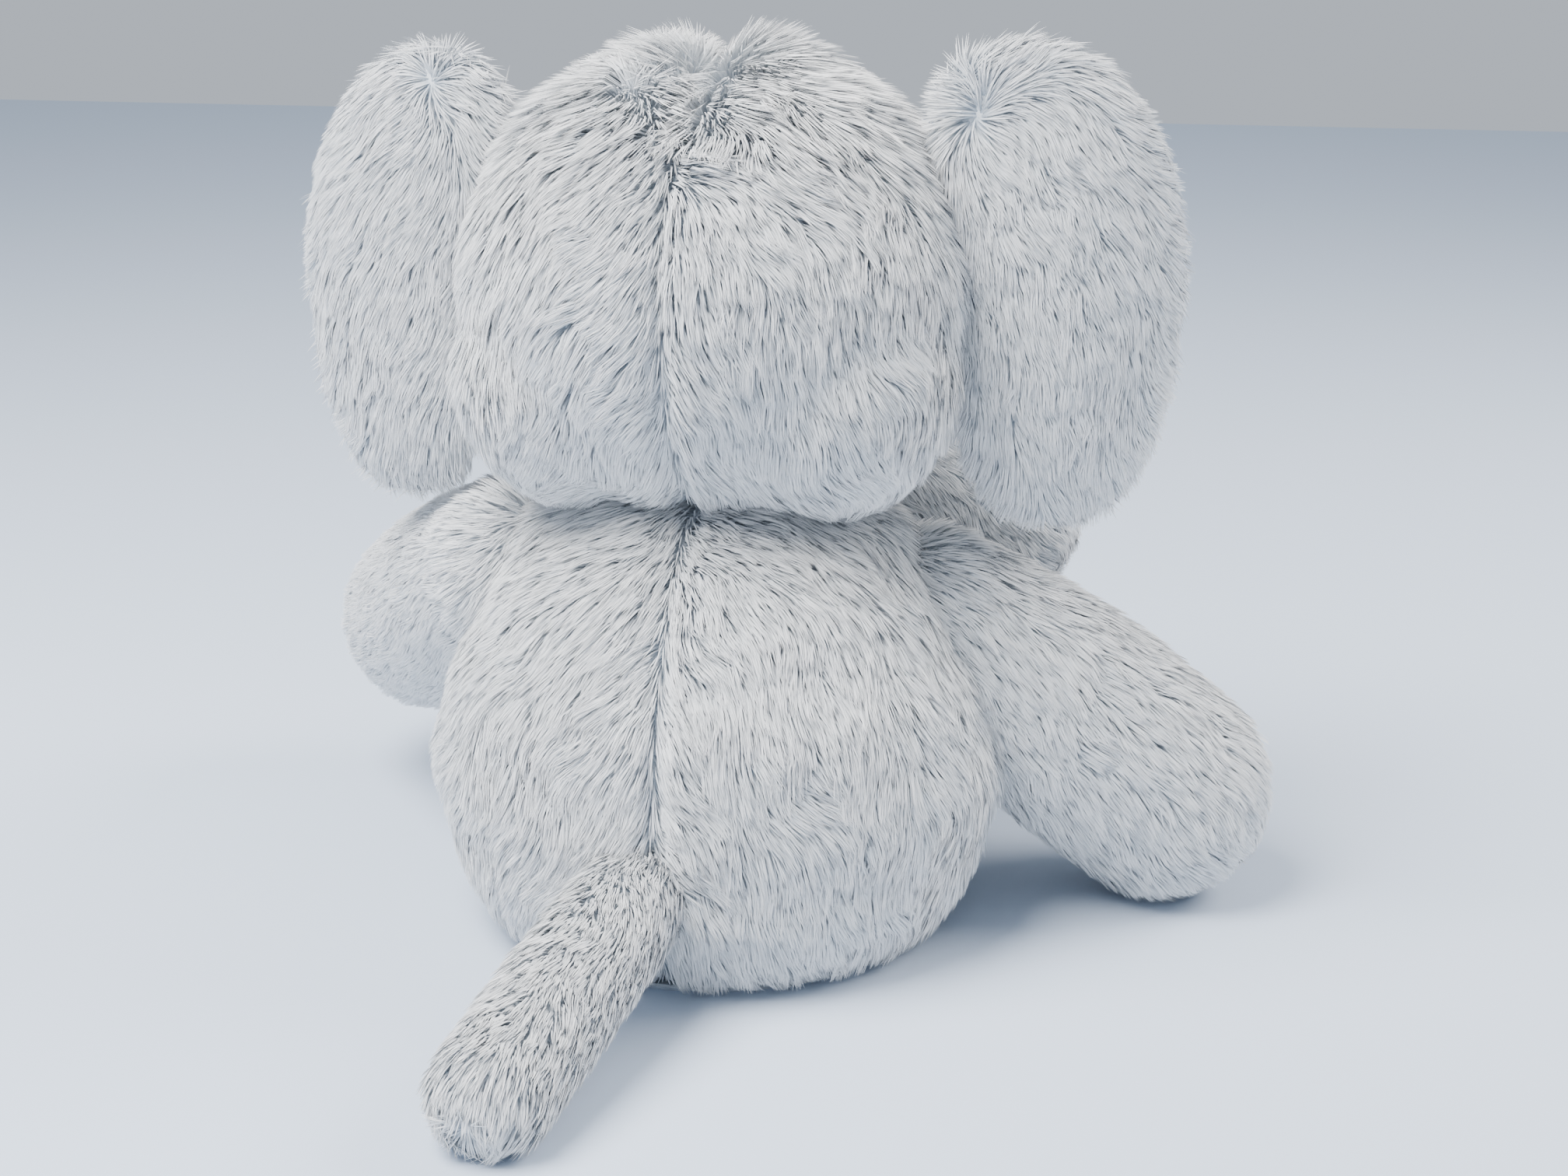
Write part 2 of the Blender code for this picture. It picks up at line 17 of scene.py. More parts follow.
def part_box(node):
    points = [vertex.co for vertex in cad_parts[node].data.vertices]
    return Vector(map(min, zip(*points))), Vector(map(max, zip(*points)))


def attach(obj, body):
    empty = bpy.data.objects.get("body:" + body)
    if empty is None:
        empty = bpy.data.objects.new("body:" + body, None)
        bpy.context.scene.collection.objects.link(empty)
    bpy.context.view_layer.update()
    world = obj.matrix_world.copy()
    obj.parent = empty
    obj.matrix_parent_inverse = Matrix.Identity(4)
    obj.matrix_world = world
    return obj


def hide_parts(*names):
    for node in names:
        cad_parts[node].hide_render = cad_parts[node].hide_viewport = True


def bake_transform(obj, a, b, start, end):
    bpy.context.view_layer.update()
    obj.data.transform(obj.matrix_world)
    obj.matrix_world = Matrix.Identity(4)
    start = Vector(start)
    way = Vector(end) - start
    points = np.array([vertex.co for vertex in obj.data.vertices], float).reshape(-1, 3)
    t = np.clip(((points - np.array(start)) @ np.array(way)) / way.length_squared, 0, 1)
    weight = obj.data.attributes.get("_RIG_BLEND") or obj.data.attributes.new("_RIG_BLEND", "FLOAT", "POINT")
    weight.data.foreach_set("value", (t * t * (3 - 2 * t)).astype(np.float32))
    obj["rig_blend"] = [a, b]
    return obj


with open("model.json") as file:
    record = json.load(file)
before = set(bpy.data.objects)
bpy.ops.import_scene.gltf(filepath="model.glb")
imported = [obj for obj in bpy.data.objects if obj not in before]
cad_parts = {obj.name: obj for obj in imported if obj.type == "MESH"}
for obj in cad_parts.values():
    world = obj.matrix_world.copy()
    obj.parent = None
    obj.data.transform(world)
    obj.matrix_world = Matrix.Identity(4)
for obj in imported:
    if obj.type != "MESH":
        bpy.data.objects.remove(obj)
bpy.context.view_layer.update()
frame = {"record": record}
joints = {j["name"]: j for j in frame["record"]["behaviour"]["joints"]}

# %% [markdown]
# ## Places
# Every position comes from the frame: the middle of a node's box, or the point a joint turns
# about. Nothing is measured twice, so a change in the CAD carries through to the looks.

# %% Places from the frame
def pivot(name):
    return Vector(joints[name]["pos_m"])


def middle(node):
    low, high = (Vector(corner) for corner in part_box(node))
    return (low + high) / 2


low, high = (Vector(c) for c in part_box("head_left"))
low_r, high_r = (Vector(c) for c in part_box("head_right"))
HEAD_R = Vector(((high.x - low_r.x) / 2, (high.y - low.y) / 2, 0))
HEAD_R.z = HEAD_R.x * 0.895
HEAD = Vector((0, (low.y + high.y) / 2, high.z - HEAD_R.z))
NECK = pivot("head_nod")
BACK = Vector(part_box("body_back_left")[1])
BELLY = Vector(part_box("body_belly")[0])
EAR = {s: pivot("ear_fold_left" if s > 0 else "ear_fold_right") for s in (1, -1)}
EYES = {}
for name in ("eye_left", "eye_right"):
    spot = middle(name)
    EYES[name] = spot + (spot - HEAD).normalized() * 0.007
print("head centre", tuple(round(v, 3) for v in HEAD), "radii", tuple(round(v, 3) for v in HEAD_R))

# %% [markdown]
# ## Camera, floor and light
# The toy is seen from behind, a little to its right and a little above. The camera stands about
# 1.25 m away. One broad lamp high on the far side rakes over the pile, and weaker, cooler lamps on
# the near side leave the shadows soft and slightly blue, as daylight does.

# %% Camera, floor and light
def linear(code):
    """An sRGB hex colour as linear RGBA."""
    parts = [int(code[i:i + 2], 16) / 255 for i in (1, 3, 5)]
    return (*[c / 12.92 if c <= 0.04045 else ((c + 0.055) / 1.055) ** 2.4 for c in parts], 1.0)


def add(tree, kind, inputs=None, **settings):
    """One node with its settings, and its inputs set to values or linked from sockets."""
    node = tree.nodes.new(kind)
    for key, value in settings.items():
        setattr(node, key, value)
    for key, value in (inputs or {}).items():
        if isinstance(value, bpy.types.NodeSocket):
            tree.links.new(value, node.inputs[key])
        else:
            node.inputs[key].default_value = value
    return node


VIEW_TURN = math.radians(11)
VIEW_DOWN = math.radians(17)
back = Vector((-math.sin(VIEW_TURN), math.cos(VIEW_TURN), 0))
across = Vector((math.cos(VIEW_TURN), math.sin(VIEW_TURN), 0))
camera_data = bpy.data.cameras.new("camera")
camera_data.lens = 55.8
camera_data.sensor_width = 36
camera = bpy.data.objects.new("camera", camera_data)
bpy.context.scene.collection.objects.link(camera)
camera.location = back * 1.23 - across * 0.0376 + Vector((0, 0, 0.557))
aim = -back * math.cos(VIEW_DOWN) - Vector((0, 0, math.sin(VIEW_DOWN)))
camera.rotation_euler = aim.to_track_quat("-Z", "Y").to_euler()
bpy.context.scene.camera = camera


def lamp(name, place, target, size, watts, code):
    data = bpy.data.lights.new(name, "AREA")
    data.shape = "DISK"
    data.size = size
    data.energy = watts
    data.color = linear(code)[:3]
    obj = bpy.data.objects.new(name, data)
    bpy.context.scene.collection.objects.link(obj)
    obj.location = place
    obj.rotation_euler = (Vector(target) - Vector(place)).to_track_quat("-Z", "Y").to_euler()


lamp("ceiling", (0.8, 0.8, 2.1), (0, 0.05, 0.25), 1.5, 138, "#FFFDFA")
lamp("window", (-1.7, -0.6, 1.5), (0, 0, 0.3), 1.3, 50, "#FFFBF6")
lamp("sky_fill", (1.3, 1.5, 1.2), (0, 0, 0.25), 2.0, 7, "#DCE8FF")

world = bpy.data.worlds.new("soft_room")
world.use_nodes = True
world.node_tree.nodes["Background"].inputs["Color"].default_value = linear("#DDE6F2")
world.node_tree.nodes["Background"].inputs["Strength"].default_value = 0.74
bpy.context.scene.world = world

floor_mesh = bpy.data.meshes.new("floor")
floor_mesh.from_pydata([(-4, -4, 0), (4, -4, 0), (4, 4, 0), (-4, 4, 0)], [], [(0, 1, 2, 3)])
floor = bpy.data.objects.new("floor", floor_mesh)
bpy.context.scene.collection.objects.link(floor)
floor_paint = bpy.data.materials.new("plain_pale_floor")
floor_paint.use_nodes = True
shader = floor_paint.node_tree.nodes["Principled BSDF"]
shader.inputs["Base Color"].default_value = linear("#CBD8EA")
shader.inputs["Roughness"].default_value = 0.9
floor_mesh.materials.append(floor_paint)
print("camera", tuple(round(v, 3) for v in camera.location))

# %% [markdown]
# ## Skins: rough forms
# A plush skin is a bag, so each form starts as a few overlapping balls, the way a maker builds a
# clay model, and a voxel remesh melts them into one closed surface. This is quicker than drawing a
# cage by hand, and it never leaves a hole or a pole.

# %% Rough forms from balls
def ball(into, centre, radii, turn=Matrix.Identity(3), rings=14, segments=22):
    """Adds a closed ellipsoid to lists of points and faces."""
    points, faces = into
    start = len(points)
    for i in range(rings + 1):
        high = math.pi * i / rings
        count = 1 if i in (0, rings) else segments
        for j in range(count):
            round_it = 2 * math.pi * j / segments
            unit = Vector((math.sin(high) * math.cos(round_it), math.sin(high) * math.sin(round_it),
                           math.cos(high)))
            points.append(Vector(centre) + turn @ Vector([unit[k] * radii[k] for k in range(3)]))
    ring = lambda i, j: start if i == 0 else start + 1 + (i - 1) * segments + j % segments
    last = start + 1 + (rings - 1) * segments
    for j in range(segments):
        faces.append((start, ring(1, j), ring(1, j + 1)))
        for i in range(1, rings - 1):
            faces.append((ring(i, j), ring(i + 1, j), ring(i + 1, j + 1), ring(i, j + 1)))
        faces.append((ring(rings - 1, j + 1), ring(rings - 1, j), last))


def chain(into, start, end, first, last, swell=0.0, count=12):
    """A limb: a row of balls from a joint to a tip."""
    for i in range(count + 1):
        t = i / count
        radius = first + (last - first) * t + swell * math.sin(math.pi * t)
        ball(into, Vector(start).lerp(Vector(end), t), (radius,) * 3, rings=10, segments=16)


def evaluated(obj):
    graph = bpy.context.evaluated_depsgraph_get()
    return bpy.data.meshes.new_from_object(obj.evaluated_get(graph))


def settle(obj):
    """Replaces an object's mesh by what its modifiers make, and removes them."""
    mesh, old = evaluated(obj), obj.data
    obj.modifiers.clear()
    obj.data = mesh
    bpy.data.meshes.remove(old)


def melted(name, into, voxel=0.005, rounds=8):
    """One closed skin from overlapping balls, with its hollows smoothed over."""
    mesh = bpy.data.meshes.new(name)
    mesh.from_pydata([tuple(p) for p in into[0]], [], into[1])
    obj = bpy.data.objects.new(name, mesh)
    bpy.context.scene.collection.objects.link(obj)
    remesh = obj.modifiers.new("Remesh", "REMESH")
    remesh.mode = "VOXEL"
    remesh.voxel_size = voxel
    relax = obj.modifiers.new("Smooth", "SMOOTH")
    relax.factor = 0.5
    relax.iterations = rounds
    settle(obj)
    return obj


# %% [markdown]
# The body is a pear that sits flat. The head is an egg with two soft crown lobes and full cheeks.
# Arms, legs, trunk and tail are rows of balls between a joint and a tip, taken from the CAD boxes.

# %% Body and head forms
skins = {}
forms = ([], [])
width, front, rear = BACK.x, -BELLY.y, BACK.y
for high, radius, tall in ((0.030, 0.92, 0.046), (0.055, 0.99, 0.058), (0.092, 1.05, 0.086),
                           (0.122, 0.98, 0.086), (0.150, 0.86, 0.090)):
    ball(forms, (-0.003, (rear - front) / 2, high),
         (width * radius, (front + rear) / 2 * min(radius, 1), tall))
for s in (1, -1):
    ball(forms, (s * 0.056, -0.010, 0.186), (0.054, 0.058, 0.048))
ball(forms, (0, NECK.y, 0.205), (0.085, 0.085, 0.045))
skins["body"] = melted("body_skin", forms, voxel=0.006, rounds=24)

forms = ([], [])
ball(forms, HEAD, HEAD_R * 1.03)
for s in (1, -1):
    ball(forms, HEAD + Vector((s * 0.027 - 0.002, -0.008, 0.074)), (0.038, 0.056, 0.042))
    ball(forms, HEAD + Vector((s * 0.058, -0.056, -0.048)), (0.062, 0.056, 0.054))
    ball(forms, HEAD + Vector((s * 0.062, 0.022, -0.040)), (0.064, 0.080, 0.066))
skins["head"] = melted("head_skin", forms, voxel=0.006, rounds=7)


# %% Ear forms
def ear_outline(angle, side):
    """Distance from the ear's middle to its edge: a tall oval, hollowed to fit the head."""
    tall = (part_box("ear_back_left")[1][2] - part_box("ear_back_left")[0][2]) / 2
    tall *= 1.0 if side > 0 else 1.03
    wide = 0.067 + 0.003 * math.sin(angle)
    du, dv = math.cos(angle), math.sin(angle)
    return (abs(du / wide) ** 2.5 + abs(dv / tall) ** 2.5) ** (-1 / 2.5)


EAR_SWEEP = math.radians(16)


def ear_place(side):
    """The ear's own plane: u outward, v up, w toward the back, standing at its hinge."""
    sweep = Matrix.Rotation(-EAR_SWEEP * side, 4, "Z")
    return Matrix.Translation(EAR[side]) @ sweep @ Matrix.Diagonal((side, 1, 1, 1))


for s in (1, -1):
    points, faces = [], []
    rings, segments = 10, 40
    ball((points, faces), (0, 0, 0), (1, 1, 1), rings=rings, segments=segments)
    place = ear_place(s)
    shaped = []
    for p in points:
        flat = math.hypot(p.x, p.y)
        reach = ear_outline(math.atan2(p.y, p.x), s) if flat > 1e-6 else 0
        u = p.x * reach * 0.92 + 0.051
        v = p.y * reach + (0 if s > 0 else 0.003)
        u -= (0.034 if s > 0 else 0.022) * max(0, v / 0.118) ** 1.5
        fat = 0.0245 * (1 + 0.10 * v / 0.118) * (0.72 + 0.28 * min(1, max(0, u / 0.05)))
        cup = -0.010 * (u / 0.10) ** 2
        shaped.append(place @ Vector((u, p.z * fat + cup, v)))
    skins[f"ear_{'left' if s > 0 else 'right'}"] = melted(
        f"ear_{'left' if s > 0 else 'right'}_skin", (shaped, faces), voxel=0.0045, rounds=3)

# %% Limb forms
def limb_ends(joint, node, radius):
    """Joint centre, and the centre of the round tip at the far corner of the limb's box."""
    start = pivot(joint)
    low, high = (Vector(c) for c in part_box(node))
    far = [high[k] - radius if high[k] - start[k] > start[k] - low[k] else low[k] + radius
           for k in range(3)]
    return start, Vector(far)


LIMBS = {
    "arm_left": ("arm_left_swing", "arm_left_skin", 0.050, 0.046, 0.053, 0.004),
    "arm_right": ("arm_right_lift", "arm_right_skin", 0.050, 0.040, 0.057, 0.007),
    "trunk_base": ("trunk_lift", "trunk_base_skin", 0.038, 0.045, 0.040, 0.0),
    "trunk_tip": ("trunk_curl", "trunk_tip_skin", 0.036, 0.040, 0.037, 0.0),
    "tail": ("tail_lift", "tail_skin", 0.0215, 0.0255, 0.0265, 0.001),
}
ends = {name: limb_ends(joint, node, cad_radius)
        for name, (joint, node, cad_radius, *_) in LIMBS.items()}
ends["trunk_base"] = (ends["trunk_base"][0], pivot("trunk_curl"))
ends["arm_right"] = (ends["arm_right"][0] - Vector((0, 0, 0.010)),
                     ends["arm_right"][1] + Vector((-0.005, 0, 0.008)))
ends["trunk_tip"] = (ends["trunk_tip"][0], ends["trunk_tip"][1] + Vector((0, 0, 0.005)))
for name in ("arm_left", "arm_right", "tail"):
    forms = ([], [])
    chain(forms, *ends[name], *LIMBS[name][3:])
    skins[name] = melted(name + "_skin_form", forms, voxel=0.0045 if name != "tail" else 0.0035)

for name in ("trunk_base", "trunk_tip"):
    forms = ([], [])
    chain(forms, *ends[name], *LIMBS[name][3:])
    skins[name] = melted(name + "_skin_form", forms, voxel=0.0045, rounds=6)

for s, name in ((1, "leg_left"), (-1, "leg_right")):
    sole = middle(name + "_sole")
    hip = pivot(name + "_lift")
    way = (sole - hip).normalized()
    ends[name] = (hip, sole - way * 0.004)
    forms = ([], [])
    chain(forms, hip, sole - way * 0.050, 0.047, 0.051)
    turn = Vector((0, 0, 1)).rotation_difference(way).to_matrix()
    for back_off in (0.044, 0.034, 0.026):
        ball(forms, sole - way * back_off, (0.054, 0.054, 0.024), turn)
    skins[name] = melted(name + "_skin_form", forms, voxel=0.0045)

# %% [markdown]
# ## Skins: stuffing pressure
# Fibre pushed into a sewn bag presses the cloth out everywhere except along the seams, where the
# thread holds it. Blender's Cloth does just that: the seam points are pinned, pressure swells the
# rest for twenty frames, and the travel of each point is capped so the toy keeps its size.

# %% Puffing a skin
PRESSURE = 6.0


def eased(value, start, end):
    share = np.clip((value - start) / (end - start), 0, 1)
    return share * share * (3 - 2 * share)


def points_of(mesh):
    flat = np.empty(len(mesh.vertices) * 3)
    mesh.vertices.foreach_get("co", flat)
    return flat.reshape(-1, 3)


def puffed(obj, sewn, cap):
    """Swells a skin under pressure with its seam points held, each point moving at most cap."""
    rest = points_of(obj.data)
    group = obj.vertex_groups.new(name="sewn")
    group.add([int(i) for i in np.nonzero(sewn(rest))[0]], 1.0, "REPLACE")
    cloth = obj.modifiers.new("Cloth", "CLOTH")
    cloth.settings.use_pressure = True
    cloth.settings.uniform_pressure_force = PRESSURE
    cloth.settings.tension_stiffness = cloth.settings.compression_stiffness = 1.5
    cloth.settings.shear_stiffness = 1.0
    cloth.settings.vertex_group_mass = "sewn"
    cloth.settings.effector_weights.gravity = 0
    cloth.settings.quality = 4
    cloth.collision_settings.use_collision = False
    scene = bpy.context.scene
    for step in range(1, 21):
        scene.frame_set(step)
    swollen = evaluated(obj)
    moved = points_of(swollen) - rest
    bpy.data.meshes.remove(swollen)
    obj.modifiers.clear()
    obj.vertex_groups.clear()
    scene.frame_set(1)
    travel = np.linalg.norm(moved, axis=1, keepdims=True)
    rest = rest + moved * np.minimum(1, cap / np.maximum(travel, 1e-9))
    obj.data.vertices.foreach_set("co", rest.ravel())
    print(obj.name, "puffed by up to", round(float(travel.max()) * 1000, 1), "mm, capped at",
          cap * 1000, "mm")
    return obj


def seam_middle(points):
    return np.abs(points[:, 0]) < 0.004


def seam_body(points):
    side = np.abs(points[:, 1] + 0.030) < 0.004
    return seam_middle(points) | side | (points[:, 2] < 0.010)


def seam_ear(side):
    turn = np.array(ear_place(side).inverted())

    def rim(points):
        local = points @ turn[:3, :3].T + turn[:3, 3]
        return np.abs(local[:, 1] + 0.010 * (local[:, 0] / 0.10) ** 2) < 0.003
    return rim


SEAMS = {"body": seam_body, "head": seam_middle, "ear_left": seam_ear(1), "ear_right": seam_ear(-1)}
CAPS = {"body": 0.006, "head": 0.006, "ear_left": 0.004, "ear_right": 0.004}
for name in SEAMS:
    puffed(skins[name], SEAMS[name], CAPS[name])
    finer = skins[name].modifiers.new("Subdivision", "SUBSURF")
    finer.levels = finer.render_levels = 1
    settle(skins[name])

# %% [markdown]
# ## Seams and the flat seat
# The centre seam draws the cloth in. It is cut after the simulation, because a remesh would have
# wiped it away. The underside is pressed flat where the toy sits on the seat panel.

# %% Seams and the flat seat
def reshaped(obj, change):
    """Runs a function over the points of a mesh and stores what it gives back."""
    obj.data.vertices.foreach_set("co", change(points_of(obj.data)).ravel())
    obj.data.update()


def draw_in(points, centre, depth, half_width):
    """Pulls the points beside the plane X = 0 toward a centre."""
    inward = np.array(centre) - points
    inward /= np.maximum(np.linalg.norm(inward, axis=1, keepdims=True), 1e-9)
    return points + inward * (depth * np.exp(-(points[:, :1] / half_width) ** 2))


def crown_notch(points):
    """The seam is drawn deepest between the two tufts of the crown."""
    deep = eased(points[:, 2:], HEAD.z + 0.075, HEAD.z + 0.105)
    return points * (1 - deep) + draw_in(points, HEAD, 0.011, 0.011) * deep


def sat_down(points, level=0.0046):
    points[:, 2] = np.maximum(points[:, 2], level)
    return points


reshaped(skins["head"], lambda p: draw_in(p, HEAD, 0.004, 0.006))
reshaped(skins["head"], crown_notch)
reshaped(skins["body"], lambda p: sat_down(draw_in(p, (0, 0, 0.11), 0.003, 0.008)))
for name in ("leg_left", "leg_right", "arm_right", "tail"):
    reshaped(skins[name], lambda p: sat_down(p, 0.003))

# %% [markdown]
# ## Which way the pile lies
# Long pile is brushed at the mill, so it all leans one way on each panel. Each skin point gets a
# lean direction, a strand length, a lift and a share of the full density. On the head and the body
# it falls from the crown and parts at the centre seam. On limbs, trunk and tail it runs to the tip.

# %% Lean, length, lift and density for each skin
def unit(vectors):
    return vectors / np.maximum(np.linalg.norm(vectors, axis=1, keepdims=True), 1e-9)


def brush(name, lean, length, lift, density):
    """Stores the four pile attributes on a skin."""
    mesh = skins[name].data
    count = len(mesh.vertices)
    for key, kind, value in (("lean", "FLOAT_VECTOR", unit(lean)), ("length", "FLOAT", length),
                             ("lift", "FLOAT", lift), ("density", "FLOAT", density)):
        layer = mesh.attributes.new(key, kind, "POINT")
        value = np.broadcast_to(value, (count, 3) if kind == "FLOAT_VECTOR" else (count,))
        layer.data.foreach_set("vector" if kind == "FLOAT_VECTOR" else "value",
                               np.ascontiguousarray(value, np.float32).ravel())


def normals_of(mesh):
    flat = np.empty(len(mesh.vertices) * 3)
    mesh.vertex_normals.foreach_get("vector", flat)
    return flat.reshape(-1, 3)


def waves(points, size, seed):
    """A smooth random direction at each point, the same on every run."""
    return np.array([noise.noise_vector(Vector(p) / size + Vector((seed, 0, 0))) for p in points])


down = np.array([0.0, 0.0, -1.0])
side_x = np.array([1.0, 0.0, 0.0])

p = points_of(skins["head"].data)
q = p - np.array(HEAD)
part = np.sign(q[:, :1]) * np.exp(-np.abs(q[:, :1]) / 0.05)
lean = down + side_x * 0.55 * part + unit(q * [1, 1, 0]) * 0.25
crown = eased(q[:, 2], 0.055, 0.095)
lean = lean + waves(p, 0.045, 1) * 0.7 + waves(p, 0.022, 2) * (0.4 + 0.9 * crown[:, None])
face = eased(-q[:, 1], 0.055, 0.10)[:, None]
lean = lean * (1 - face) + unit(p - np.array(ends["trunk_base"][0]) - [0, -0.03, 0]) * face
eye_gap = np.min([np.linalg.norm(p - np.array(spot), axis=1) for spot in EYES.values()], axis=0)
trimmed = eased(eye_gap, 0.012, 0.034)
brush("head", lean, (0.0165 + 0.004 * crown - 0.005 * face[:, 0]) * (0.45 + 0.55 * trimmed),
      0.42 + 0.25 * crown, eased(p[:, 2], 0.222, 0.232) * eased(eye_gap, 0.009, 0.013))

p = points_of(skins["body"].data)
part = np.sign(p[:, :1]) * np.exp(-np.abs(p[:, :1]) / 0.045)
lean = down + side_x * 0.8 * part + unit(p * [1, 1, 0]) * 0.22
lean = lean + waves(p, 0.050, 3) * 0.7 + waves(p, 0.022, 4) * 0.4
brush("body", lean, 0.0165, 0.42, eased(p[:, 2], 0.005, 0.012))

for s, name in ((1, "ear_left"), (-1, "ear_right")):
    place = ear_place(s)
    turn = np.array(place.inverted())
    p = points_of(skins[name].data)
    local = p @ turn[:3, :3].T + turn[:3, 3]
    out_u = np.array(place.to_3x3().col[0])
    out_v = np.array(place.to_3x3().col[2])
    back_w = np.array(place.to_3x3().col[1])
    flat = np.stack([(local[:, 0] - 0.043) / 0.064, local[:, 2] / 0.118], 1)
    rim = eased(np.linalg.norm(flat, axis=1), 0.65, 1.0)[:, None]
    radial = unit(flat)
    high = eased(local[:, 2], -0.05, 0.09)[:, None]
    lean = (out_u * (0.15 + 0.55 * high) - out_v * 1.0) * (1 - 0.55 * rim)
    lean = lean + (out_u * radial[:, :1] + out_v * radial[:, 1:] * 0.6) * rim * 0.75
    lean = lean + waves(p, 0.045, 5 + s) * 0.35 + waves(p, 0.020, 8 + s) * 0.25
    facing = normals_of(skins[name].data) @ back_w
    brush(name, lean, 0.0150 + 0.001 * rim[:, 0], 0.34, eased(facing, -0.55, -0.30))

for name in ("arm_left", "arm_right", "leg_left", "leg_right", "trunk_base", "trunk_tip", "tail"):
    start, end = ends[name]
    p = points_of(skins[name].data)
    way = np.array((end - start).normalized())
    if name.startswith("leg"):
        facing = normals_of(skins[name].data) @ way
        shown = 1 - eased(facing, 0.75, 0.9) * eased((p - np.array(end)) @ way, -0.012, 0.0)
    else:
        shown = np.ones(len(p))
    outward = unit(p - np.array(start) - np.outer((p - np.array(start)) @ way, way))
    tip = eased((p - np.array(end)) @ way, 0.0, 0.02)[:, None]
    lean = way + down * 0.25 + outward * 0.45 * tip + waves(p, 0.040, 12) * 0.4
    length = {"tail": 0.0125, "trunk_base": 0.013, "trunk_tip": 0.013}.get(name, 0.0155)
    brush(name, lean, length, 0.40, shown * eased(p[:, 2], 0.004, 0.012))
print("pile directions stored on", ", ".join(skins))

# %% [markdown]
# ## The pile
# Every strand is one thin tapering blade. The node tree scatters roots over the skin, sets a blade
# on each, and then bends it: up out of the backing, over along the lean, in toward the middle of
# its lock, and off at an angle shared by its tuft. Those last two give the combed, clumped look.

# %% One blade
blade_mesh = bpy.data.meshes.new("blade")
blade_mesh.from_pydata([(-1, 0, 0), (1, 0, 0), (-0.85, 0.5, 0), (0.85, 0.5, 0), (0, 1, 0)], [],
                       [(0, 1, 3, 2), (2, 3, 4)])
blade = bpy.data.objects.new("blade", blade_mesh)
print("a blade has", len(blade_mesh.polygons), "faces")


